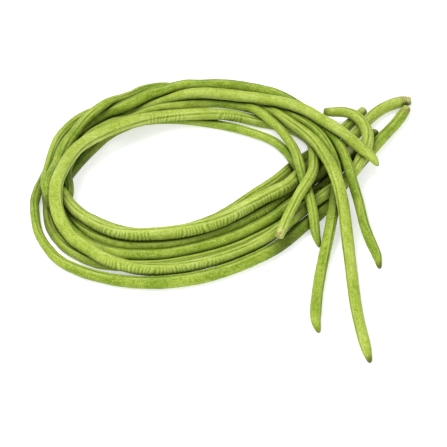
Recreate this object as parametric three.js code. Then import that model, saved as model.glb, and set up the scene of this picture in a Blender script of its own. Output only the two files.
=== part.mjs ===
import * as THREE from 'three';

// A bunch of yardlong beans, looped into one open oval and lying loose on a table.
// Millimetres, +Z up, the table is z = 0, the near side of the bunch is -Y.

// Thickness of the pods, as radii
const FULL = 4.5;
const THICK = 4.2;
const PLUMP = 3.9;
const MEDIUM = 3.6;
const FIRM = 3.4;
const SLIM = 3.2;
const THIN = 2.8;

// Lengths of the two ends of a pod
const NECK_LENGTH = 9;
const TIP_LENGTH = 18;
const TIP_END_RADIUS = 0.8;
const BLUNT_END_RADIUS = 1.9;
const TIP_FULLNESS = 0.65;
const STEM_END_RADIUS = 2.8;

// How a pod is divided
const SIDES = 12;
const RING_SPACING = 8.4;
const END_RINGS = [0, 0.8, 2.4, 5, 9];
const TIP_RINGS = [0, 1.2, 3, 6, 10, 15];

// How pods rest on each other and on the table
const CLEARANCE = 0.8;
const SAMPLE_STEP = 2.5;
const SETTLE_ROUNDS = 300;
const SETTLE_SPREAD = 6;
const SIDEWAYS_SHARE = 0.15;
const HOME_PULL = 0.01;
const FLAT_BAND = 0.3;

// A pod that lies on another one leans forward as it rises
const RISE = new THREE.Vector3(0, -1, 1).normalize();

// Each pod's route runs from its stem end to its blossom tip, as points [x, y, z]
const pods = [
  {
    name: 'pod_outer', color: 0x93b23f,
    thickness: [
      [0, FIRM], [0.08, PLUMP], [0.3, THICK], [0.38, MEDIUM], [0.45, THIN], [0.52, SLIM], [0.6, FIRM],
      [0.85, FIRM], [0.95, SLIM], [1, SLIM],
    ],
    route: [
      [122.4, 105.8, 3.4], [113.4, 88.8, 3.6], [105, 77.5, 3.8], [92, 56, 4], [81, 37, 4], [64, 9.9, 4],
      [51, -6.7, 4], [38, -21.9, 4.2], [24, -33.4, 4.2], [5, -45.8, 4.2], [-15, -53.9, 4.2], [-35, -57.8, 4],
      [-55, -58.3, 3.8], [-67.3, -56.7, 3.7], [-80.5, -53.1, 3.5], [-93.7, -47.3, 3.3], [-107.5, -37.5, 3],
      [-113.8, -29, 3], [-118.9, -19.4, 3], [-122.3, -9.6, 3], [-124, 3, 3], [-124.7, 13.7, 3.1],
      [-121.7, 29.8, 3.3], [-114.8, 45, 3.4], [-107, 61.4, 3.4], [-99, 73.6, 3.6], [-89, 86, 4],
      [-78, 94.7, 6.3], [-61, 101.2, 10.8], [-48, 109.3, 11], [-38, 112.9, 10.8],
      [-28, 118.9, 10.5], [-15, 119.7, 10.5],
      [1, 119.9, 10.3], [18, 117.1, 9.8], [34, 111.2, 9], [48.3, 102, 9], [58.4, 91.9, 10],
      [67, 77, 13], [75, 59, 16], [81.8, 38, 18], [85.5, 22, 17], [89.7, 7, 12], [93.4, -10, 7.5],
      [97.9, -23.5, 4.5], [101.2, -32.4, 3], [103, -42.6, 1.4],
    ],
  },
  {
    name: 'pod_upper', color: 0xa3c04f,
    thickness: [
      [0, MEDIUM], [0.1, MEDIUM], [0.2, FULL], [0.26, FULL], [0.35, THICK], [0.5, FIRM], [1, MEDIUM],
    ],
    route: [
      [125, 111, 4.2], [117.5, 109.6, 4.2], [109, 105.9, 4.2], [101.5, 99.9, 4.2], [95, 91.5, 4.2],
      [88, 80, 4.3], [79, 68, 4.5], [69, 54, 6], [59.5, 40, 10], [51, 30.2, 11.3], [37.5, 19.8, 11.5],
      [24.5, 11.4, 11.5], [11, 0.5, 11.5], [-2, -9, 11.5], [-15, -15.1, 11.5], [-28.5, -18.8, 11.5],
      [-41.5, -20.7, 11.5], [-55, -21.4, 11.5], [-68, -20, 11.5], [-81, -13.9, 11.5], [-91, -6.4, 12],
      [-99.7, 3.4, 12], [-106, 14.7, 11], [-110, 27.5, 8], [-110.6, 40, 5], [-108, 50.7, 4.3],
      [-99, 67.5, 4.3], [-82.5, 84.4, 4.3], [-62.7, 99.4, 4.3], [-38, 107, 7], [-12, 111, 10],
      [14.5, 107, 11], [41, 99, 13], [51, 92, 15.5], [58.7, 84.6, 18], [67, 75.6, 20],
      [77, 66, 20.5], [85, 57.4, 20.5], [92.4, 49, 20], [97.7, 44.6, 18.5], [102.3, 37.8, 16.5],
    ],
  },
  {
    name: 'pod_middle', color: 0x97b745,
    thickness: [
      [0, THIN], [0.06, SLIM], [0.15, MEDIUM], [0.3, MEDIUM], [0.4, SLIM], [0.6, SLIM], [0.8, THIN],
      [0.9, SLIM], [1, SLIM],
    ],
    route: [
      [84.5, 59, 10], [78, 51.6, 10], [69, 42, 10], [59.5, 34, 8], [49, 26.7, 5], [37.5, 17.2, 3.8],
      [24.5, 6, 3.8], [11, -3.3, 3.8], [-2, -10.8, 3.8], [-15, -17.3, 3.8], [-28, -21.5, 3.8],
      [-41.5, -24, 3.8], [-55, -24.2, 3.8], [-68, -22.8, 3.8], [-79, -18.3, 3.8], [-89, -12.2, 3.8],
      [-97.7, -3.3, 3.8], [-102.6, 7.4, 3.8], [-105.2, 18, 4.5], [-105.7, 24.7, 8], [-105.6, 33, 10],
      [-104.6, 44, 9], [-102.3, 54.5, 8], [-96.4, 63, 8.5], [-80.5, 79.7, 8.5], [-60, 88.5, 8.5],
      [-48, 98.6, 5],
      [-35, 104.8, 6], [-8.6, 108.6, 6.2], [11, 104.5, 6.3], [19, 99.5, 6.7], [28.4, 90, 9],
      [35.6, 80, 11], [41, 70.6, 11.5], [45.5, 60, 12], [49.1, 47, 14], [51.5, 34, 16.5], [54, 23, 17],
      [56.2, 14.4, 14.5], [57.8, 6.7, 11], [59.2, -2.3, 7], [60.5, -10.8, 3.3], [63.5, -22.8, 1.4],
    ],
  },
  {
    name: 'pod_inner', color: 0x8fae3d,
    thickness: [[0, SLIM], [0.1, FIRM], [0.4, SLIM], [0.55, THIN], [0.65, SLIM], [0.8, THIN], [1, THIN]],
    route: [
      [93.7, 103.8, 3.3], [85, 92, 3.3], [79, 84, 3.3], [71, 75.5, 3.3], [62.7, 67.6, 3.3], [54, 59, 3.3],
      [45.5, 49.4, 3.3], [33, 35.5, 3.3], [19.8, 23.6, 3.3], [6.6, 10.7, 3.3], [-8.6, -0.5, 3.3],
      [-28.5, -9.3, 3.3], [-41.5, -11.8, 3.3], [-55, -12.2, 3.3], [-68, -9.4, 3.3], [-81.2, -2.5, 3.3],
      [-91.9, 5.2, 3.3], [-99.4, 14.4, 3.3], [-104.8, 23.8, 3.3], [-105.8, 31, 3.3], [-103.8, 38.7, 3.3],
      [-95.8, 53, 3.3], [-83.4, 71, 3.3], [-70.2, 88, 3.3], [-51.5, 95.5, 3.3], [-28.5, 94.2, 3.3],
      [-5.3, 90.3, 3.3], [14.7, 83.8, 3.3], [32.6, 73.8, 4], [38.8, 65.4, 6], [43.4, 56.8, 9],
      [47, 47.3, 10.5], [50, 39.4, 11], [51.5, 34, 11],
    ],
  },
  {
    name: 'pod_centre', color: 0x8cab3a,
    thickness: [
      [0, SLIM], [0.08, PLUMP], [0.2, THICK], [0.44, THICK], [0.5, SLIM], [0.53, THIN], [0.58, THIN],
      [0.66, FIRM], [0.75, FIRM], [0.88, MEDIUM], [1, MEDIUM],
    ],
    route: [
      [102.3, 81.8, 4], [97, 74.4, 4], [89, 64, 4], [77, 50, 4], [65.3, 36, 4], [54, 23, 4.2],
      [44, 11.6, 4.3], [34.3, 0.8, 4.3], [24.4, -7.6, 4.3], [11.2, -16.2, 4.3], [-2, -22.8, 4.3],
      [-15.2, -28.1, 4.3], [-28, -31.9, 4.3], [-41.6, -34.5, 4.3], [-54.8, -34.9, 4.3], [-68, -34, 4.3],
      [-87.8, -25.8, 4.3],
      [-103.6, -7, 4.3], [-108, 4, 4.5], [-110.6, 12.6, 7], [-111.5, 20.3, 10.5], [-111, 30, 12],
      [-106, 50.5, 12], [-99.7, 69.4, 12], [-89.8, 88.6, 11], [-80, 95.8, 11], [-73.3, 100.9, 10],
      [-64, 110.1, 7.5], [-54.8, 119.3, 5.5], [-41.6, 124.7, 3.8], [-28.4, 123.2, 3.8], [-2, 121.8, 3.8],
      [21, 116.6, 4], [39, 100.7, 8],
      [54, 82, 13], [67.3, 60, 16.5],
      [73.8, 36.6, 17.5], [73.8, 9.8, 14.5], [69.9, -15, 6.5], [64.8, -44.5, 3.4], [61.5, -73.1, 3.5],
      [60.8, -92.4, 2.8], [62.7, -102, 1.4],
    ],
  },
  {
    name: 'pod_over', color: 0xa6c355, tipLength: 6, tipRadius: BLUNT_END_RADIUS,
    thickness: [
      [0, SLIM], [0.1, FIRM], [0.25, MEDIUM], [0.5, THICK], [0.65, PLUMP], [0.8, MEDIUM], [0.93, PLUMP],
      [0.98, SLIM], [1, THIN],
    ],
    route: [
      [36.6, -28, 15.5], [43, -9.6, 17.5], [51, 7.4, 21.5], [55, 14.3, 23], [58, 25, 21], [59.6, 40, 16],
      [58.4, 66.4, 9], [46, 84.3, 4.5], [28.2, 93.8, 3.8], [18.5, 94.6, 5], [8, 94.7, 6.5], [-15.2, 92.7, 10],
      [-41.6, 90.5, 10], [-61.4, 82.4, 13], [-80, 68.7, 16], [-94.4, 53.8, 19], [-104.6, 33.5, 22],
      [-110.6, 12, 21.5], [-108.9, -4.1, 14], [-103.6, -15.5, 10.5], [-97, -26.9, 10.2], [-90.4, -32.3, 10],
      [-80.5, -40.7, 9.5], [-67.3, -47.1, 9], [-57.4, -50.4, 8.6], [-47.5, -51.2, 8.1], [-37.6, -50.3, 7.6],
      [-27.7, -48.1, 7], [-14.5, -44, 6.6], [-1.3, -38.6, 6.2], [8.6, -34.1, 6.3], [18.5, -29.2, 6.5],
      [31.7, -19.6, 7], [37.6, -14.9, 8], [50.8, -1.6, 9.5], [69.3, 17.4, 11.5], [83.8, 33.8, 11.5],
      [92.7, 52.9, 11.5], [95.4, 63.6, 12], [95.4, 73, 12.5], [93, 80.4, 12.5], [89.1, 87.1, 12.2],
      [84.5, 91.5, 11.7], [77.9, 93.8, 11], [71.9, 94.4, 10.2], [67, 95.6, 9.6],
    ],
  },
  {
    name: 'pod_long', color: 0x9aba48,
    thickness: [
      [0, THIN], [0.06, SLIM], [0.2, MEDIUM], [0.3, FIRM], [0.4, SLIM], [0.65, SLIM], [0.78, PLUMP],
      [1, MEDIUM],
    ],
    route: [
      [65.3, 25.7, 3.8], [50.8, 10.1, 3.6], [37.6, -4.9, 3.6], [24.4, -15.2, 3.6], [11.2, -24.2, 3.6],
      [-2, -31, 3.6], [-28, -39.6, 3.6], [-47.5, -43, 3.6], [-67.3, -42.4, 3.6], [-79.2, -40.4, 3.6],
      [-85.8, -38.3, 3.5], [-92.4, -34.1, 3.5], [-99, -29.5, 3.5], [-104.2, -24.7, 3.5], [-109.5, -16.6, 3.5],
      [-112.8, -8.4, 3.5], [-113.9, 0.7, 3.6], [-114.5, 12.7, 5], [-114.6, 21, 8], [-115, 29.6, 10.5],
      [-113.6, 49.8, 11], [-107.3, 75.1, 7], [-95.4, 94.6, 3.6], [-84, 101.3, 3.6], [-73.3, 103.3, 3.6],
      [-64, 105.2, 3.6], [-55, 107, 3.6], [-41.6, 110.8, 3.6], [-2, 114.3, 3.6], [21, 108.5, 4],
      [39.6, 88, 10], [49.5, 76, 13.5], [57.4, 63.2, 17], [64.7, 48.5, 20.5], [70.6, 32.5, 23.5],
      [75.2, 16, 24], [77.8, 6, 20], [79.8, -4.2, 14.5], [81.3, -16.5, 10], [84, -45, 5],
      [87.6, -83.3, 3.6], [92.7, -114, 3.2], [96.2, -129.6, 1.4],
    ],
  },
];

// A pod's radius at a share of its length, eased between the given values
function radiusAt(thickness, share) {
  let index = 0;
  while (index < thickness.length - 2 && thickness[index + 1][0] < share) index += 1;
  const [start, from] = thickness[index];
  const [end, to] = thickness[index + 1];
  return from + (to - from) * THREE.MathUtils.smoothstep(share, start, end);
}

// The neck by the stem end and the long taper to the blossom tip
function podRadius(pod, share, length) {
  const station = share * length;
  const body = radiusAt(pod.thickness, share);
  const neck = THREE.MathUtils.smoothstep(station, 0, NECK_LENGTH);
  const withNeck = THREE.MathUtils.lerp(Math.min(body, STEM_END_RADIUS), body, neck);
  const fromTip = Math.min((length - station) / (pod.tipLength ?? TIP_LENGTH), 1);
  const taper = Math.sin((fromTip * Math.PI) / 2) ** TIP_FULLNESS;
  return THREE.MathUtils.lerp(pod.tipRadius ?? TIP_END_RADIUS, withNeck, taper);
}

// The route as evenly spaced points, each with the pod's radius there
function samplePod(pod) {
  const points = pod.route.map(([x, y, z]) => new THREE.Vector3(x, y, z));
  const curve = new THREE.CatmullRomCurve3(points, false, 'centripetal');
  curve.arcLengthDivisions = 2000;
  const length = curve.getLength();
  const count = Math.round(length / SAMPLE_STEP);
  const samples = [];
  for (let i = 0; i <= count; i += 1) {
    const place = curve.getPointAt(i / count);
    const radius = podRadius(pod, i / count, length);
    samples.push({ place, home: place.clone(), push: new THREE.Vector3(), radius });
  }
  return samples;
}

// Two samples that touch are pushed apart, more along the rise than sideways
function separate(a, b) {
  const gap = b.place.clone().sub(a.place);
  const missing = a.radius + b.radius + CLEARANCE - gap.length();
  if (missing <= 0) return;
  const rise = gap.dot(RISE);
  gap.addScaledVector(RISE, -rise).multiplyScalar(SIDEWAYS_SHARE);
  gap.addScaledVector(RISE, rise);
  gap.setLength(missing / 2);
  a.push.sub(gap);
  b.push.add(gap);
}

// A pod can't sink into the table, and lifts off it along the rise
function liftOffTable(sample) {
  const sunk = sample.radius - sample.place.z;
  if (sunk > 0) sample.place.addScaledVector(RISE, sunk / RISE.z);
}

// Neighbours along a pod share a push, because the pod bends as a whole
function spreadPushes(samples) {
  return samples.map((sample, index) => {
    const shared = new THREE.Vector3();
    let total = 0;
    for (let step = -SETTLE_SPREAD; step <= SETTLE_SPREAD; step += 1) {
      const other = samples[index + step];
      if (other === undefined) continue;
      const weight = 1 - Math.abs(step) / (SETTLE_SPREAD + 1);
      shared.addScaledVector(other.push, weight);
      total += weight;
    }
    return shared.divideScalar(total);
  });
}

// The pods settle until none cuts into another or into the table
function settle(laidPods) {
  for (let round = 0; round < SETTLE_ROUNDS; round += 1) {
    const pull = round < SETTLE_ROUNDS / 2 ? HOME_PULL : 0;
    laidPods.flat().forEach((sample) => sample.push.set(0, 0, 0));
    for (let first = 0; first < laidPods.length; first += 1) {
      for (let second = first + 1; second < laidPods.length; second += 1) {
        for (const a of laidPods[first]) {
          for (const b of laidPods[second]) {
            if (Math.abs(a.place.x - b.place.x) > 2 * THICK + CLEARANCE) continue;
            if (Math.abs(a.place.y - b.place.y) > 2 * THICK + CLEARANCE) continue;
            separate(a, b);
          }
        }
      }
    }
    for (const samples of laidPods) {
      const pushes = spreadPushes(samples);
      samples.forEach((sample, index) => {
        sample.place.add(pushes[index]);
        sample.place.lerp(sample.home, pull);
        liftOffTable(sample);
      });
    }
  }
}

// Where the rings of a pod lie along its length: close together at both ends
function ringStations(length) {
  const stations = [...END_RINGS];
  const bodyEnd = length - TIP_RINGS.at(-1) - RING_SPACING / 2;
  const bodyStart = END_RINGS.at(-1);
  const steps = Math.round((bodyEnd - bodyStart) / RING_SPACING);
  for (let i = 1; i <= steps; i += 1) stations.push(bodyStart + ((bodyEnd - bodyStart) * i) / steps);
  const tipStations = TIP_RINGS.map((offset) => length - offset).reverse();
  return [...stations, ...tipStations];
}

// One closed skin round the settled route, flat side down where it lies on the table
function podGeometry(pod, samples) {
  const curve = new THREE.CatmullRomCurve3(samples.map((sample) => sample.place), false, 'centripetal');
  curve.arcLengthDivisions = 3000;
  const length = curve.getLength();
  const stations = ringStations(length);
  const vertices = [];
  for (const station of stations) {
    const share = station / length;
    const centre = curve.getPointAt(share);
    const along = curve.getTangentAt(share);
    const side = new THREE.Vector3().crossVectors(along, new THREE.Vector3(0, 0, 1)).normalize();
    const up = new THREE.Vector3().crossVectors(side, along);
    const radius = podRadius(pod, share, length);
    for (let k = 0; k < SIDES; k += 1) {
      const angle = ((k + 0.5) / SIDES) * 2 * Math.PI;
      const vertex = centre.clone();
      vertex.addScaledVector(side, radius * Math.cos(angle));
      vertex.addScaledVector(up, radius * Math.sin(angle));
      if (vertex.z < FLAT_BAND) vertex.z = 0;
      vertices.push(vertex);
    }
  }
  const triangles = [];
  const rings = stations.length;
  for (let ring = 0; ring < rings - 1; ring += 1) {
    for (let k = 0; k < SIDES; k += 1) {
      const a = ring * SIDES + k;
      const b = ring * SIDES + ((k + 1) % SIDES);
      triangles.push(a, a + SIDES, b, b, a + SIDES, b + SIDES);
    }
  }
  const stemPole = vertices.push(curve.getPointAt(0)) - 1;
  const tipPole = vertices.push(curve.getPointAt(1)) - 1;
  const last = (rings - 1) * SIDES;
  for (let k = 0; k < SIDES; k += 1) {
    const next = (k + 1) % SIDES;
    triangles.push(stemPole, k, next);
    triangles.push(tipPole, last + next, last + k);
  }
  const geometry = new THREE.BufferGeometry().setFromPoints(vertices);
  geometry.setIndex(triangles);
  geometry.computeVertexNormals();
  return geometry;
}

const laidPods = pods.map(samplePod);
settle(laidPods);

const group = new THREE.Group();
pods.forEach((pod, index) => {
  const material = new THREE.MeshStandardMaterial({ color: pod.color, roughness: 0.5, metalness: 0 });
  const mesh = new THREE.Mesh(podGeometry(pod, laidPods[index]), material);
  mesh.name = pod.name;
  group.add(mesh);
});

// The origin is under the middle of the bunch, on the table
const bounds = new THREE.Box3().setFromObject(group);
const middle = bounds.getCenter(new THREE.Vector3());
group.position.set(-middle.x, -middle.y, -bounds.min.z);

export default group;
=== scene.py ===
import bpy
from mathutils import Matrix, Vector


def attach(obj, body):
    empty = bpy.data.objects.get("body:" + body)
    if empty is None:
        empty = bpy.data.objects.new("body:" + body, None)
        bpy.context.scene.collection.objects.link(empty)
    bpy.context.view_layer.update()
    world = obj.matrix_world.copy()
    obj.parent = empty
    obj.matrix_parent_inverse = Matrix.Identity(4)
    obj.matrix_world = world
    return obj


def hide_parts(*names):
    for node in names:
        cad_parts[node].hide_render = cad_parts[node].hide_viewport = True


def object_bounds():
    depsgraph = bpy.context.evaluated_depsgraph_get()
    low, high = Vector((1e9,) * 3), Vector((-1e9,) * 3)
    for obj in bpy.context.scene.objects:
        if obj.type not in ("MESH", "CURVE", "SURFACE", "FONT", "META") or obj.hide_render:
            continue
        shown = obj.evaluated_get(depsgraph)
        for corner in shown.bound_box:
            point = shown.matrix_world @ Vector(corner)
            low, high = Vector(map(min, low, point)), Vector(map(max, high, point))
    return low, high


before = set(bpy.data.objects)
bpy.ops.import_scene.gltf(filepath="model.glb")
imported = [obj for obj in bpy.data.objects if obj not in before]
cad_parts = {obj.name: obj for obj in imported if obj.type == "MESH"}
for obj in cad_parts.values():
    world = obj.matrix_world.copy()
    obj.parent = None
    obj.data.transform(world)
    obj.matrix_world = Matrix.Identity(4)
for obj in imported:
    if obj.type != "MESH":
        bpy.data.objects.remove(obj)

import math

import bpy
import numpy as np
from mathutils import Vector

CAD_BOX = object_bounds()

# Lengths are in metres; MM turns millimetres into metres
MM = 0.001
FULL_TURN = 2 * math.pi

# The photograph's view: straight on, from halfway up, through a long lens
VIEW_ELEVATION = math.radians(45)
VIEW_DISTANCE = 12.0
VIEW_WIDTH = 295.0 * MM
VIEW_TARGET = Vector((1.32 * MM, 1.2 * MM, 0))
SENSOR_WIDTH = 36.0
CLIP_END = 3 * VIEW_DISTANCE
PICTURE_UP = np.array([0.0, math.sin(VIEW_ELEVATION), math.cos(VIEW_ELEVATION)])

# The solids: how closely vertices in one place agree, and the two poles of a pod
MERGE_DIGITS = 7
POLES = 2

# How finely a pod's skin is divided
RING_STEP = 0.56 * MM
END_RING_STEP = 0.3 * MM
END_LENGTH = 12 * MM
SIDES = 44
SEAM_CROWDING = 0.30

# An uneven wave is three sines: each one's rate, its height, and how far the start moves it
WAVE_PARTS = [(1.0, 1.0, 1.0), (1.73, 0.7, 2.1), (2.9, 0.5, 3.3)]

# A pod's body: a little fuller than the solid, swollen by its seeds, lumpy and not quite round
FULLNESS = 0.20 * MM
SEED_PITCH = 10.5 * MM
SEED_SWELL = 0.013
SEED_CHANGE_PITCH = 9 * SEED_PITCH
SEED_CHANGE = 0.4
SEED_DRIFT = 2
WOBBLE = 0.012
WOBBLE_PITCH = 83 * MM
WOBBLE_START = 1
LUMP = 0.016
LUMP_PITCH = 26 * MM
LUMP_START = 5
OUT_OF_ROUND = 0.014
LOBES = 3
TWIST = 2
TWIST_PITCH = 45 * MM
TWIST_START = 2

# The two seams, opposite each other, each a groove between two lips
SEAM_SIDES = (0, math.pi)
SEAM_DEPTH = 0.24 * MM
SEAM_WIDTH = math.radians(7)
SEAM_WANDER = 0.08
SEAM_WANDER_PITCH = 170 * MM
LIP_HEIGHT = 0.10 * MM
LIP_OFFSET = math.radians(20)
LIP_WIDTH = math.radians(9)
SEAM_STEM_FADE = 6 * MM
SEAM_TIP_FADE = 10 * MM
SEAM_FULL_RADIUS = 3.5 * MM

# Crosswise wrinkles, which lie on the near, lower side of some stretches
WRINKLE_PITCH = 2.4 * MM
WRINKLE_DEPTH = 0.28 * MM
WRINKLE_FADE = 5 * MM
WRINKLE_FULL_BELOW = -0.05
WRINKLE_NONE_ABOVE = 0.55
WRINKLE_WANDER = 0.55
WRINKLE_WANDER_PITCH = 21 * MM
WRINKLE_SLANT = 0.22
WRINKLE_SLANT_REACH = 6 * MM
WRINKLE_CHANGE = 0.25
WRINKLE_CHANGE_PITCH = 13 * MM

# The cut stem end is rounded over a short cap, with thin rings behind it
CAP_LENGTH = 1.3 * MM
CUT_SHARE = 0.35
STEM_RING_PITCH = 1.3 * MM
STEM_RING_START = 3.1 * MM
STEM_RING_RISE = 0.5 * MM
STEM_RING_END = 7.6 * MM
STEM_RING_FALL = 1.0 * MM
STEM_RING_HEIGHT = 0.16 * MM

# How far the painted shade reaches into a crevice between two pods, near and wide
NEAR_SHADE_REACH = 1.25 * MM
WIDE_SHADE_REACH = 2.3 * MM

# A gap is measured to every few rings, to no more than a short reach along the pod from the nearest
NEAREST_STEP = 4
LOCAL_REACH = 7 * MM
FAR = 1.0

# A pod's own skin counts as near to it only from another stretch of it, this far on
OWN_STRETCH = 60 * MM

# How far a pod that crosses well above another one darkens it with a painted shadow
COVER_SHADOW_HEIGHT = 9.5 * MM
COVER_SHADOW_REACH = 7.5 * MM

# The skin's own unrolled space, in millimetres, with the pods well apart in it
UNROLLED_RADIUS = 3.6
UNROLLED_SPACING = 900

# Light and floor
FLOOR_SIZE = 6.0
FLOOR_DROP = 0.2 * MM
FLOOR_TONE = 0.64
FLOOR_GLOW = 0.47
FLOOR_ROUGHNESS = 0.9
FLOOR_SHEEN = 0.1
WHITE = (1.0, 1.0, 1.0, 1.0)
SKY_COLOUR = (0.96, 0.97, 1.0, 1.0)
SKY_STRENGTH = 0.68
KEY_PLACE = Vector((-0.65, 0.15, 1.4))
KEY_SIZE = 0.9
KEY_POWER = 20.5
KEY_COLOUR = (1.0, 0.985, 0.95)
FILL_PLACE = Vector((0.5, -1.2, 0.9))
FILL_SIZE = 1.4
FILL_POWER = 13.0
FILL_COLOUR = (1.0, 1.0, 1.0)

# Display values, 0 to 255, and the curve that turns them into linear ones
DISPLAY_WHITE = 255
CURVE_FOOT = 0.04045
CURVE_FOOT_SLOPE = 12.92
CURVE_OFFSET = 0.055
CURVE_POWER = 2.4


def linear(red, green, blue):
    """A display colour as the shaders' linear colour."""
    channels = []
    for value in (red, green, blue):
        share = value / DISPLAY_WHITE
        if share <= CURVE_FOOT:
            channels.append(share / CURVE_FOOT_SLOPE)
        else:
            channels.append(((share + CURVE_OFFSET) / (1 + CURVE_OFFSET)) ** CURVE_POWER)
    return (*channels, 1.0)


# The greens and browns of a pod
DEEP_GREEN = linear(98, 127, 8)
LEAF_GREEN = linear(146, 164, 56)
PALE_GREEN = linear(184, 198, 104)
# Painted highlight, laid on the seams' lips
RIM_HIGHLIGHT_GREEN = linear(194, 206, 118)
SEAM_GREEN = linear(72, 98, 0)
# Painted shade, between pods and under pods that cross above
HOLLOW_SHADE_GREEN = linear(50, 80, 0)
PAINTED_SHADE_GREEN = linear(14, 26, 0)
STEM_TAN = linear(198, 194, 132)
STEM_BROWN = linear(120, 92, 48)
TIP_BROWN = linear(84, 82, 34)

# Noise on a skin: its scale, detail, roughness, and its stretch across the pod, twice, and along it
NOISES = {
    "broad": (0.045, 2.0, 0.55, (1.6, 1.6, 1.0)),
    "patches": (0.28, 4.0, 0.55, (1.3, 1.3, 0.8)),
    "streaks": (0.9, 3.0, 0.55, (1.4, 1.4, 0.10)),
    "grain": (1.7, 2.0, 0.7, (1.0, 1.0, 1.0)),
    "mottle": (0.5, 4.0, 0.75, (1.2, 1.2, 0.7)),
    "seam_change": (0.05, 2.0, 0.55, (0.2, 0.2, 1.0)),
}

# How much of each noise goes into a pod's shade, and into its fine relief
SHADE_SHARES = {"broad": 0.5, "patches": 0.3, "streaks": 0.25, "mottle": 0.5}
SHADE_MIDDLE = 0.75
RELIEF_SHARES = {"grain": 0.16, "streaks": 0.30, "mottle": 0.55}

# Spans of a value, from and to, with what they turn into where that isn't 0 to 1
LEAF_SPAN = (0.30, 0.56)
PALE_SPAN = (0.50, 0.80)
LIGHT_GRAIN_SPAN = (0.52, 0.68, 0.0, 0.80)
DARK_GRAIN_SPAN = (0.48, 0.33, 0.0, 0.85)
SEAM_CHANGE_SPAN = (0.36, 0.60, 0.25, 1.0)
BLOTCH_SPAN = (0.48, 0.62)
ROUGHNESS_SPAN = (0.3, 0.7, 0.42, 0.54)

# Spans in millimetres from a pod's stem end, and from its tip
PALE_END_SPAN = (2.5, 7.5)
BROWN_END_SPAN = (2.0, 9.0)
TIP_SPAN = (0.2, 6.0)
PALE_END_TINT = 0.9
BROWN_END_TINT = 0.8

# How strongly each fact of the skin tints it, the painted highlights, painted shadow and painted shade
# among them
RIDGE_HIGHLIGHT_TINT = 0.75
TROUGH_SHADE_TINT = 0.95
LIP_HIGHLIGHT_TINT = 0.40
SEAM_TINT = 0.78
COVER_SHADOW_TINT = 0.62
STEM_RING_TINT = 0.75
HOLLOW_SHADE_TINT = 0.68
CREVICE_SHADE_TINT = 0.97

# The skin's surface
SHEEN = 0.10
FLESH_WEIGHT = 0.10
FLESH_RADIUS = (0.9, 1.0, 0.25)
FLESH_SCALE = 1.0 * MM
BUMP_STRENGTH = 0.6
BUMP_DISTANCE = 0.6 * MM


class Pod:
    """How one pod looks: where its seam faces along it, its wrinkles, its ends and its green.

    A seam's knots are millimetres from the stem end and degrees round from the pod's level side.
    A wrinkled stretch is from and to, in millimetres from the stem end. The rest are shares, 0 to 1.
    """

    def __init__(self, node, seam, wrinkles, lightness, rings, pale_stem, brown_stem, brown_tip):
        self.node = node
        self.seam = seam
        self.wrinkles = wrinkles
        self.lightness = lightness
        self.rings = rings
        self.pale_stem = pale_stem
        self.brown_stem = brown_stem
        self.brown_tip = brown_tip


PODS = [
    Pod(
        "pod_outer",
        seam=[(0, 75), (250, 85), (340, 92), (400, 96), (520, 110), (640, 120), (764, 130)],
        wrinkles=[(60, 84), (600, 640)],
        lightness=0.40, rings=0.4, pale_stem=0.45, brown_stem=1.0, brown_tip=0.9,
    ),
    Pod(
        "pod_upper",
        seam=[(0, 60), (150, 122), (195, 90), (230, 88), (262, 104), (295, 115), (400, 140), (602, 135)],
        wrinkles=[(100, 212), (226, 262)],
        lightness=0.58, rings=1.0, pale_stem=1.0, brown_stem=0.5, brown_tip=0.1,
    ),
    Pod(
        "pod_middle",
        seam=[(0, 60), (200, 100), (400, 130), (500, 90), (557, 88)],
        wrinkles=[(60, 90)],
        lightness=0.46, rings=0.0, pale_stem=0.7, brown_stem=0.0, brown_tip=0.3,
    ),
    Pod(
        "pod_inner",
        seam=[(0, 95), (200, 120), (300, 70), (480, 100)],
        wrinkles=[(150, 190)],
        lightness=0.44, rings=0.0, pale_stem=0.5, brown_stem=0.1, brown_tip=0.1,
    ),
    Pod(
        "pod_centre",
        seam=[(0, 70), (300, 60), (560, 90), (680, 150), (741, 155)],
        wrinkles=[(60, 100)],
        lightness=0.42, rings=0.0, pale_stem=0.1, brown_stem=0.3, brown_tip=0.4,
    ),
    Pod(
        "pod_over",
        seam=[
            (0, 66), (60, 66), (240, 160), (320, 160), (340, 150),
            (380, 125), (440, 96), (480, 85), (673, 80),
        ],
        wrinkles=[(158, 178), (200, 228), (396, 474)],
        lightness=0.56, rings=0.0, pale_stem=0.4, brown_stem=0.8, brown_tip=0.7,
    ),
    Pod(
        "pod_long",
        seam=[(0, 110), (240, 90), (280, 80), (320, 60), (450, 80), (600, 25), (710, 20)],
        wrinkles=[(330, 360)],
        lightness=0.52, rings=0.0, pale_stem=0.0, brown_stem=0.3, brown_tip=0.9,
    ),
]


# The CAD pod's rings


def merged_mesh(node):
    """A node's places and which of them are joined, with vertices in one place merged."""
    mesh = bpy.data.objects[node].data
    index_of = {}
    order = []
    places = []
    for vertex in mesh.vertices:
        key = tuple(round(value, MERGE_DIGITS) for value in vertex.co)
        if key not in index_of:
            index_of[key] = len(places)
            places.append(vertex.co.copy())
        order.append(index_of[key])
    neighbours = [set() for _ in places]
    for polygon in mesh.polygons:
        corners = [order[v] for v in polygon.vertices]
        for a, b in zip(corners, corners[1:] + corners[:1]):
            if a != b:
                neighbours[a].add(b)
                neighbours[b].add(a)
    return places, neighbours


def rings_from(pole, places, neighbours):
    """The rings of places that are one, two, three edges away from a pole, up to the other pole."""
    rings = [[pole]]
    seen = {pole}
    while rings[-1]:
        following = sorted({other for v in rings[-1] for other in neighbours[v]} - seen)
        seen.update(following)
        rings.append(following)
    # The first ring is the pole itself; the last two are the other pole and nothing
    return [[places[v] for v in ring] for ring in rings[1:-2]]


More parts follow.
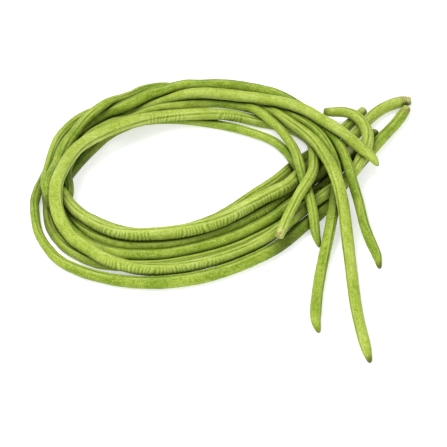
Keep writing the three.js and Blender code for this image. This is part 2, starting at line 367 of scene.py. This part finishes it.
def pod_rings(node):
    """A CAD pod's ring centres and radii, from its stem end to its blossom tip."""
    places, neighbours = merged_mesh(node)
    poles = sorted(range(len(places)), key=lambda v: (-len(neighbours[v]), v))[:POLES]
    found = []
    for pole in poles:
        centres = []
        radii = []
        for ring in rings_from(pole, places, neighbours):
            centre = sum(ring, Vector()) / len(ring)
            centres.append(centre)
            radii.append(sum((place - centre).length for place in ring) / len(ring))
        found.append((np.array(centres), np.array(radii)))
    # The stem end is the thicker one
    return max(found, key=lambda rings: rings[1][0])


# A pod's middle line


def smooth_between(knots, values, at):
    """Values at the given stations, on a smooth curve through the knots."""
    slopes = np.gradient(values, knots, axis=0)
    index = np.clip(np.searchsorted(knots, at, side="right") - 1, 0, len(knots) - 2)
    span = knots[index + 1] - knots[index]
    t = (at - knots[index]) / span
    if values.ndim > 1:
        span = span[:, None]
        t = t[:, None]
    start = (1 + 2 * t) * (1 - t) ** 2 * values[index] + t * (1 - t) ** 2 * span * slopes[index]
    end = t * t * (3 - 2 * t) * values[index + 1] + t * t * (t - 1) * span * slopes[index + 1]
    return start + end


def stations_along(length):
    """Where the fine rings lie: closer together at both ends."""
    end = np.linspace(0, END_LENGTH, round(END_LENGTH / END_RING_STEP), endpoint=False)
    middle_length = length - 2 * END_LENGTH
    middle = np.linspace(END_LENGTH, length - END_LENGTH, round(middle_length / RING_STEP))
    return np.concatenate([end, middle, length - end[::-1]])


class MiddleLine:
    """A pod's fine ring centres, with their radii and the directions round them."""

    def __init__(self, node):
        centres, radii = pod_rings(node)
        steps = np.linalg.norm(np.diff(centres, axis=0), axis=1)
        knots = np.concatenate([[0], np.cumsum(steps)])
        self.length = knots[-1]
        self.along = stations_along(self.length)
        self.middle = smooth_between(knots, centres, self.along)
        self.radius = np.interp(self.along, knots, radii) + FULLNESS
        forward = np.gradient(self.middle, self.along, axis=0)
        self.forward = forward / np.linalg.norm(forward, axis=1)[:, None]
        side = np.cross(self.forward, [0, 0, 1])
        self.side = side / np.linalg.norm(side, axis=1)[:, None]
        self.up = np.cross(self.side, self.forward)


# Waves, bumps and steps


def slow_waves(along, wavelength, start):
    """An uneven wave from -1 to 1 along a pod."""
    turns = FULL_TURN * along / wavelength
    wave = sum(height * np.sin(rate * turns + shift * start) for rate, height, shift in WAVE_PARTS)
    return wave / sum(height for _, height, _ in WAVE_PARTS)


def bump_at(angle, width):
    """A smooth rise round angle 0, as wide as width."""
    nearest = (angle + math.pi) % FULL_TURN - math.pi
    return np.exp(-((nearest / width) ** 2))


def share_of(value, full):
    """0 at nothing, 1 from full on and a straight line between them."""
    return np.clip(value / full, 0, 1)


def smooth_step(value, low, high):
    """0 below low, 1 above high and smooth between them."""
    share = np.clip((value - low) / (high - low), 0, 1)
    return share * share * (3 - 2 * share)


def smooth_rise(along, place, half_width):
    """0 well before a place along a pod, 1 well after it and smooth between them."""
    return smooth_step(along, place - half_width, place + half_width)


def stretch_shares(along, stretches):
    """1 inside the stretches, which are given in millimetres, and 0 away from them."""
    share = np.zeros_like(along)
    for first, last in stretches:
        rise = smooth_rise(along, first * MM, WRINKLE_FADE)
        fall = smooth_rise(along, last * MM, WRINKLE_FADE)
        share = np.maximum(share, rise * (1 - fall))
    return share


# What lies beside and above a pod


def gap_to(line, other, places, same):
    """How far each place of a pod's skin is from another pod, or from a far stretch of its own."""
    across = line.middle[:, None, :] - other.middle[None, ::NEAREST_STEP, :]
    distance = np.linalg.norm(across, axis=2)
    if same:
        apart = np.abs(line.along[:, None] - other.along[None, ::NEAREST_STEP])
        distance = np.where(apart < OWN_STRETCH, FAR, distance)
    nearest = NEAREST_STEP * np.argmin(distance, axis=1)
    offset = places - other.middle[nearest][:, None, :]
    lengthwise = np.einsum("rsk,rk->rs", offset, other.forward[nearest])
    square = np.einsum("rsk,rsk->rs", offset, offset) - lengthwise ** 2
    reached = other.along[nearest][:, None] + lengthwise
    beyond = np.maximum(0, np.maximum(-reached, reached - other.length))
    beyond = np.maximum(beyond, np.abs(lengthwise) - LOCAL_REACH)
    gap = np.sqrt(np.maximum(square, 0) + beyond ** 2) - other.radius[nearest][:, None]
    if same:
        gap = np.where(distance.min(axis=1)[:, None] >= FAR, FAR, gap)
    return gap


def nearest_gap(pod, lines, places):
    """How far each place of a pod's skin is from whatever pod is nearest to it."""
    line = lines[pod.node]
    gap = np.full(places.shape[:2], FAR)
    for node, other in lines.items():
        gap = np.minimum(gap, gap_to(line, other, places, node == pod.node))
    return np.maximum(gap, 0)


def painted_cover_shadow(line, lines):
    """How far each ring lies under a pod that crosses above it, from 0 to 1: the strength of its painted
    shadow.
    """
    cover_shadow = np.zeros(len(line.along))
    for other in lines.values():
        across = line.middle[:, None, :] - other.middle[None, ::NEAREST_STEP, :]
        level = np.linalg.norm(across[:, :, :2], axis=2)
        level = np.where(across[:, :, 2] < -COVER_SHADOW_HEIGHT, level, FAR)
        cover_shadow = np.maximum(cover_shadow, np.exp(-((level.min(axis=1) / COVER_SHADOW_REACH) ** 2)))
    return cover_shadow


# A pod's fine skin


def side_angles(pod, along, start):
    """Each side's angle from the seam, and each place's angle round the pod."""
    turn = np.arange(SIDES) * FULL_TURN / SIDES
    from_seam = turn - SEAM_CROWDING * np.sin(len(SEAM_SIDES) * turn)
    seam_at, seam_angle = zip(*pod.seam)
    seam = np.interp(along, np.array(seam_at) * MM, np.radians(seam_angle))
    seam = seam + SEAM_WANDER * slow_waves(along, SEAM_WANDER_PITCH, start)
    return from_seam, from_seam[None, :] + seam[:, None]


def body_radius(line, start):
    """A pod's radius with its seed swellings and its uneven lumps."""
    along = line.along
    seeds = slow_waves(along, SEED_CHANGE_PITCH, start)
    swell = SEED_SWELL * np.cos(FULL_TURN * along / SEED_PITCH + SEED_DRIFT * seeds)
    swell = swell * (1 - SEED_CHANGE + SEED_CHANGE * seeds)
    wobble = WOBBLE * slow_waves(along, WOBBLE_PITCH, start + WOBBLE_START)
    lumps = LUMP * slow_waves(along, LUMP_PITCH, start + LUMP_START)
    return line.radius * (1 + swell + wobble + lumps)


def stem_rings(pod, along):
    """How far a pod's stem rings show at each station, and their height there, from 0 to 1."""
    rise = smooth_rise(along, STEM_RING_START, STEM_RING_RISE)
    fall = smooth_rise(along, STEM_RING_END, STEM_RING_FALL)
    height = (1 + np.cos(FULL_TURN * (along - STEM_RING_START) / STEM_RING_PITCH)) / 2
    return pod.rings * rise * (1 - fall), height


def cap_share(along):
    """The share of the full radius at each station of the rounded, cut stem end."""
    quarter_round = np.sqrt(np.clip(1 - (1 - share_of(along, CAP_LENGTH)) ** 2, 0, 1))
    return CUT_SHARE + (1 - CUT_SHARE) * quarter_round


def seam_marks(line, from_seam):
    """How far the seams' grooves and their lips show at each place, from 0 to 1."""
    groove = sum(bump_at(from_seam - seam, SEAM_WIDTH) for seam in SEAM_SIDES)
    lips = sum(
        bump_at(from_seam - seam - offset, LIP_WIDTH)
        for seam in SEAM_SIDES
        for offset in (LIP_OFFSET, -LIP_OFFSET)
    )
    ends = share_of(line.along, SEAM_STEM_FADE) * share_of(line.length - line.along, SEAM_TIP_FADE)
    fade = (ends * share_of(line.radius, SEAM_FULL_RADIUS))[:, None]
    return fade * groove[None, :], fade * lips[None, :]


def out_of_round(line, angle, start):
    """How far each place stands out from a true circle."""
    twist = TWIST * slow_waves(line.along, TWIST_PITCH, start + TWIST_START)
    return OUT_OF_ROUND * line.radius[:, None] * np.cos(LOBES * angle + twist[:, None])


def wrinkles_across(pod, along, angle, outward, start):
    """The wave of the wrinkles at each place, from -1 to 1, and how far it shows there."""
    lower = 1 - smooth_step(outward @ PICTURE_UP, WRINKLE_FULL_BELOW, WRINKLE_NONE_ABOVE)
    change = slow_waves(along, WRINKLE_CHANGE_PITCH, start)
    shown = stretch_shares(along, pod.wrinkles) * (1 - WRINKLE_CHANGE + WRINKLE_CHANGE * change)
    shown = shown[:, None] * lower
    wander = WRINKLE_WANDER * slow_waves(along, WRINKLE_WANDER_PITCH, start)[:, None]
    slant = WRINKLE_SLANT * np.sin(2 * angle + along[:, None] / WRINKLE_SLANT_REACH)
    wave = np.cos(FULL_TURN * (along[:, None] / WRINKLE_PITCH + wander + slant))
    return shown * wave, shown


def tube_faces(rings):
    """The faces of a closed tube: its rings of places come first, then its two poles."""
    faces = []
    for ring in range(rings - 1):
        for k in range(SIDES):
            a = ring * SIDES + k
            b = ring * SIDES + (k + 1) % SIDES
            faces.append((a, a + SIDES, b + SIDES, b))
    stem_pole = rings * SIDES
    tip_pole = stem_pole + 1
    last = (rings - 1) * SIDES
    for k in range(SIDES):
        following = (k + 1) % SIDES
        faces.append((stem_pole, k, following))
        faces.append((tip_pole, last + following, last + k))
    return faces


def at_each_place(values, rings):
    """Values for each ring and side in one row, with both poles added."""
    grid = np.broadcast_to(values, (rings, SIDES))
    return np.concatenate([grid.reshape(-1), grid[0, :1], grid[-1, :1]])


def pod_skin(pod, lines, start):
    """A pod's fine mesh, as places, faces and what its material reads at each place."""
    line = lines[pod.node]
    along = line.along
    rings = len(along)

    from_seam, angle = side_angles(pod, along, start)
    across = np.cos(angle)[:, :, None] * line.side[:, None, :]
    outward = across + np.sin(angle)[:, :, None] * line.up[:, None, :]

    groove, lips = seam_marks(line, from_seam)
    wrinkle, wrinkle_shown = wrinkles_across(pod, along, angle, outward, start)
    ring_shown, ring_height = stem_rings(pod, along)
    body = body_radius(line, start) + STEM_RING_HEIGHT * ring_shown * ring_height
    body = body * cap_share(along)
    relief = LIP_HEIGHT * lips - SEAM_DEPTH * groove
    relief = relief + out_of_round(line, angle, start)
    relief = relief + WRINKLE_DEPTH / 2 * (wrinkle - wrinkle_shown)

    places = line.middle[:, None, :] + (body[:, None] + relief)[:, :, None] * outward
    gap = nearest_gap(pod, lines, places)
    places = np.vstack([places.reshape(-1, 3), line.middle[:1], line.middle[-1:]])
    places = np.clip(places, CAD_BOX[0], CAD_BOX[1])

    facts = {
        "seam": groove,
        "lip_highlight": lips,
        "from_stem": (along / MM)[:, None],
        "from_tip": ((line.length - along) / MM)[:, None],
        "stem_ring": (ring_shown * (1 - ring_height))[:, None],
        # Painted highlight on the wrinkles' ridges and painted shade in their troughs
        "ridge_highlight": np.maximum(wrinkle, 0),
        "trough_shade": np.maximum(-wrinkle, 0),
        # Painted shade near other pods, narrow and wide, and painted shadow under pods that cross above
        "crevice_shade": np.exp(-(gap / NEAR_SHADE_REACH) ** 2),
        "hollow_shade": np.exp(-gap / WIDE_SHADE_REACH),
        "cover_shadow": painted_cover_shadow(line, lines)[:, None],
    }
    facts = {fact: at_each_place(values, rings) for fact, values in facts.items()}
    unrolled = np.stack([
        at_each_place(UNROLLED_RADIUS * np.cos(from_seam)[None, :], rings),
        at_each_place(UNROLLED_RADIUS * np.sin(from_seam)[None, :], rings),
        at_each_place((along / MM + UNROLLED_SPACING * start)[:, None], rings),
    ], axis=1)
    return places, tube_faces(rings), facts, unrolled


def make_mesh(name, places, faces, facts, unrolled):
    """A smooth Blender mesh with a float layer for each fact and a vector layer for pod_space."""
    mesh = bpy.data.meshes.new(name)
    mesh.from_pydata(places.tolist(), [], faces)
    for fact, values in facts.items():
        layer = mesh.attributes.new(fact, "FLOAT", "POINT")
        layer.data.foreach_set("value", values.astype(np.float32))
    layer = mesh.attributes.new("pod_space", "FLOAT_VECTOR", "POINT")
    layer.data.foreach_set("vector", unrolled.astype(np.float32).ravel())
    mesh.polygons.foreach_set("use_smooth", [True] * len(mesh.polygons))
    mesh.update()
    return mesh


# Materials


class Shader:
    """Short ways to add and join a material's nodes."""

    def __init__(self, name):
        self.material = bpy.data.materials.new(name)
        self.material.use_nodes = True
        self.tree = self.material.node_tree
        self.surface = self.tree.nodes["Principled BSDF"]

    def add(self, kind, **settings):
        """A new node with the given settings."""
        node = self.tree.nodes.new(kind)
        for key, value in settings.items():
            setattr(node, key, value)
        return node

    def join(self, source, target):
        """A link from an output to an input."""
        self.tree.links.new(source, target)

    def fact(self, name, output="Fac"):
        """What the mesh says under this name at each place."""
        return self.add("ShaderNodeAttribute", attribute_name=name).outputs[output]

    def noise(self, where, scale, detail, roughness, stretch):
        """Noise from 0 to 1 in the pod's own unrolled space."""
        mapping = self.add("ShaderNodeMapping")
        mapping.inputs["Scale"].default_value = stretch
        self.join(where, mapping.inputs["Vector"])
        node = self.add("ShaderNodeTexNoise")
        node.inputs["Scale"].default_value = scale
        node.inputs["Detail"].default_value = detail
        node.inputs["Roughness"].default_value = roughness
        self.join(mapping.outputs["Vector"], node.inputs["Vector"])
        return node.outputs["Fac"]

    def span(self, value, low, high, to_low=0.0, to_high=1.0):
        """A value's place between low and high, as a smooth step."""
        node = self.add("ShaderNodeMapRange", interpolation_type="SMOOTHSTEP")
        node.inputs["From Min"].default_value = low
        node.inputs["From Max"].default_value = high
        node.inputs["To Min"].default_value = to_low
        node.inputs["To Max"].default_value = to_high
        self.join(value, node.inputs["Value"])
        return node.outputs["Result"]

    def maths(self, operation, first, second):
        """The result of an operation on two values, each a number or an output."""
        node = self.add("ShaderNodeMath", operation=operation)
        for value, socket in zip((first, second), node.inputs):
            if isinstance(value, (int, float)):
                socket.default_value = value
            else:
                self.join(value, socket)
        return node.outputs["Value"]

    def weighted_sum(self, values, shares):
        """The sum of the values that the shares name, each times its share."""
        total = 0.0
        for name, share in shares.items():
            total = self.maths("ADD", total, self.maths("MULTIPLY", values[name], share))
        return total

    def mix(self, factor, below, above):
        """A colour mixed from two, each a fixed colour or an output."""
        node = self.add("ShaderNodeMix", data_type="RGBA")
        colours = [socket for socket in node.inputs if socket.type == "RGBA"]
        self.join(factor, node.inputs["Factor"])
        for value, socket in zip((below, above), colours):
            if isinstance(value, tuple):
                socket.default_value = value
            else:
                self.join(value, socket)
        return next(socket for socket in node.outputs if socket.type == "RGBA")

    def tint(self, colour, fact, strength, above):
        """A colour with another laid over it as far as a fact says."""
        return self.mix(self.maths("MULTIPLY", fact, strength), colour, above)


def mottled_green(shader, noise, lightness):
    """A pod's own green, with its mottling and grain."""
    shade = shader.weighted_sum(noise, SHADE_SHARES)
    shade = shader.maths("ADD", shade, lightness - SHADE_MIDDLE)
    colour = shader.mix(shader.span(shade, *LEAF_SPAN), DEEP_GREEN, LEAF_GREEN)
    colour = shader.mix(shader.span(shade, *PALE_SPAN), colour, PALE_GREEN)
    colour = shader.mix(shader.span(noise["grain"], *LIGHT_GRAIN_SPAN), colour, PALE_GREEN)
    return shader.mix(shader.span(noise["grain"], *DARK_GRAIN_SPAN), colour, DEEP_GREEN)


def with_painted_relief_light_and_seams(shader, noise, colour):
    """The green with painted highlights on the wrinkles' ridges and the seams' lips, painted shade in
    the wrinkles' troughs, and dark seams.
    """
    seam_change = shader.span(noise["seam_change"], *SEAM_CHANGE_SPAN)
    lip_highlight = shader.maths("MULTIPLY", shader.fact("lip_highlight"), seam_change)
    seam = shader.maths("MULTIPLY", shader.fact("seam"), seam_change)
    # Painted highlight on the wrinkles' ridges, painted shade in their troughs
    colour = shader.tint(colour, shader.fact("ridge_highlight"), RIDGE_HIGHLIGHT_TINT, PALE_GREEN)
    colour = shader.tint(colour, shader.fact("trough_shade"), TROUGH_SHADE_TINT, DEEP_GREEN)
    # Painted highlight on the seams' lips
    colour = shader.tint(colour, lip_highlight, LIP_HIGHLIGHT_TINT, RIM_HIGHLIGHT_GREEN)
    return shader.tint(colour, seam, SEAM_TINT, SEAM_GREEN)


def with_ends(shader, noise, colour, pod):
    """The green with the pod's pale and browned stem end and its browned tip."""
    stem = shader.fact("from_stem")
    pale_end = shader.span(stem, *PALE_END_SPAN, pod.pale_stem * PALE_END_TINT, 0.0)
    colour = shader.mix(pale_end, colour, STEM_TAN)
    colour = shader.tint(colour, shader.fact("stem_ring"), STEM_RING_TINT, STEM_BROWN)
    blotch = shader.span(noise["patches"], *BLOTCH_SPAN, 0.0, pod.brown_stem)
    brown_end = shader.span(stem, *BROWN_END_SPAN, BROWN_END_TINT, 0.0)
    colour = shader.mix(shader.maths("MULTIPLY", blotch, brown_end), colour, STEM_BROWN)
    tip = shader.span(shader.fact("from_tip"), *TIP_SPAN, pod.brown_tip, 0.0)
    return shader.mix(tip, colour, TIP_BROWN)


def pod_material(name, pod):
    """A bean pod's skin: mottled greens, a darker seam, a browned stem end and tip, with painted shade
    between pods, painted shadow under crossing pods and painted highlights on ridges and lips.
    """
    shader = Shader(name)
    where = shader.fact("pod_space", "Vector")
    noise = {layer: shader.noise(where, *settings) for layer, settings in NOISES.items()}

    colour = mottled_green(shader, noise, pod.lightness)
    colour = with_painted_relief_light_and_seams(shader, noise, colour)
    # Painted shadow under pods that cross above
    colour = shader.tint(colour, shader.fact("cover_shadow"), COVER_SHADOW_TINT, PAINTED_SHADE_GREEN)
    colour = with_ends(shader, noise, colour, pod)
    # Painted shade, wider and softer, wherever another pod is near
    colour = shader.tint(colour, shader.fact("hollow_shade"), HOLLOW_SHADE_TINT, HOLLOW_SHADE_GREEN)
    # Painted shade, almost black green, in the narrow crevices where pods touch
    colour = shader.tint(colour, shader.fact("crevice_shade"), CREVICE_SHADE_TINT, PAINTED_SHADE_GREEN)
    shader.join(colour, shader.surface.inputs["Base Color"])

    roughness = shader.span(noise["patches"], *ROUGHNESS_SPAN)
    shader.join(roughness, shader.surface.inputs["Roughness"])
    shader.surface.inputs["Specular IOR Level"].default_value = SHEEN
    shader.surface.inputs["Subsurface Weight"].default_value = FLESH_WEIGHT
    shader.surface.inputs["Subsurface Radius"].default_value = FLESH_RADIUS
    shader.surface.inputs["Subsurface Scale"].default_value = FLESH_SCALE

    bump = shader.add("ShaderNodeBump")
    bump.inputs["Strength"].default_value = BUMP_STRENGTH
    bump.inputs["Distance"].default_value = BUMP_DISTANCE
    shader.join(shader.weighted_sum(noise, RELIEF_SHARES), bump.inputs["Height"])
    shader.join(bump.outputs["Normal"], shader.surface.inputs["Normal"])
    return shader.material


def make_pods():
    """The seven pods, each in place of its CAD node."""
    lines = {pod.node: MiddleLine(pod.node) for pod in PODS}
    for number, pod in enumerate(PODS, start=1):
        mesh = make_mesh(pod.node + "_skin", *pod_skin(pod, lines, float(number)))
        mesh.materials.append(pod_material(pod.node + "_green", pod))
        skin = bpy.data.objects.new(pod.node + "_skin", mesh)
        bpy.context.collection.objects.link(skin)
        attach(skin, "root")
        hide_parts(pod.node)


# The studio


def make_camera():
    """The photograph's camera."""
    data = bpy.data.cameras.new("camera")
    data.sensor_width = SENSOR_WIDTH
    data.lens = SENSOR_WIDTH * VIEW_DISTANCE / VIEW_WIDTH
    data.clip_end = CLIP_END
    camera = bpy.data.objects.new("camera", data)
    bpy.context.collection.objects.link(camera)
    back = Vector((0, -math.cos(VIEW_ELEVATION), math.sin(VIEW_ELEVATION)))
    camera.location = VIEW_TARGET + VIEW_DISTANCE * back
    camera.rotation_euler = (-back).to_track_quat("-Z", "Y").to_euler()
    bpy.context.scene.camera = camera


def make_floor():
    """A plain white floor just under the bunch, with a glow that keeps its shadows light."""
    half = FLOOR_SIZE / 2
    corners = [(-half, -half, 0), (half, -half, 0), (half, half, 0), (-half, half, 0)]
    mesh = bpy.data.meshes.new("floor")
    mesh.from_pydata(corners, [], [(0, 1, 2, 3)])
    material = bpy.data.materials.new("floor_white")
    material.use_nodes = True
    surface = material.node_tree.nodes["Principled BSDF"]
    surface.inputs["Base Color"].default_value = (FLOOR_TONE, FLOOR_TONE, FLOOR_TONE, 1)
    surface.inputs["Emission Color"].default_value = WHITE
    surface.inputs["Emission Strength"].default_value = FLOOR_GLOW
    surface.inputs["Roughness"].default_value = FLOOR_ROUGHNESS
    surface.inputs["Specular IOR Level"].default_value = FLOOR_SHEEN
    mesh.materials.append(material)
    floor = bpy.data.objects.new("floor", mesh)
    floor.location.z = -FLOOR_DROP
    bpy.context.collection.objects.link(floor)


def make_light(name, place, size, power, colour):
    """A soft square light that faces the bunch."""
    data = bpy.data.lights.new(name, "AREA")
    data.size = size
    data.energy = power
    data.color = colour
    light = bpy.data.objects.new(name, data)
    light.location = place
    light.rotation_euler = (-place).to_track_quat("-Z", "Y").to_euler()
    bpy.context.collection.objects.link(light)


def make_sky():
    """Even, slightly cool light from all round."""
    world = bpy.data.worlds.new("sky")
    world.use_nodes = True
    background = world.node_tree.nodes["Background"]
    background.inputs["Color"].default_value = SKY_COLOUR
    background.inputs["Strength"].default_value = SKY_STRENGTH
    bpy.context.scene.world = world


make_camera()
make_pods()
make_floor()
make_light("key", KEY_PLACE, KEY_SIZE, KEY_POWER, KEY_COLOUR)
make_light("fill", FILL_PLACE, FILL_SIZE, FILL_POWER, FILL_COLOUR)
make_sky()
bpy.context.scene.view_settings.view_transform = "Standard"
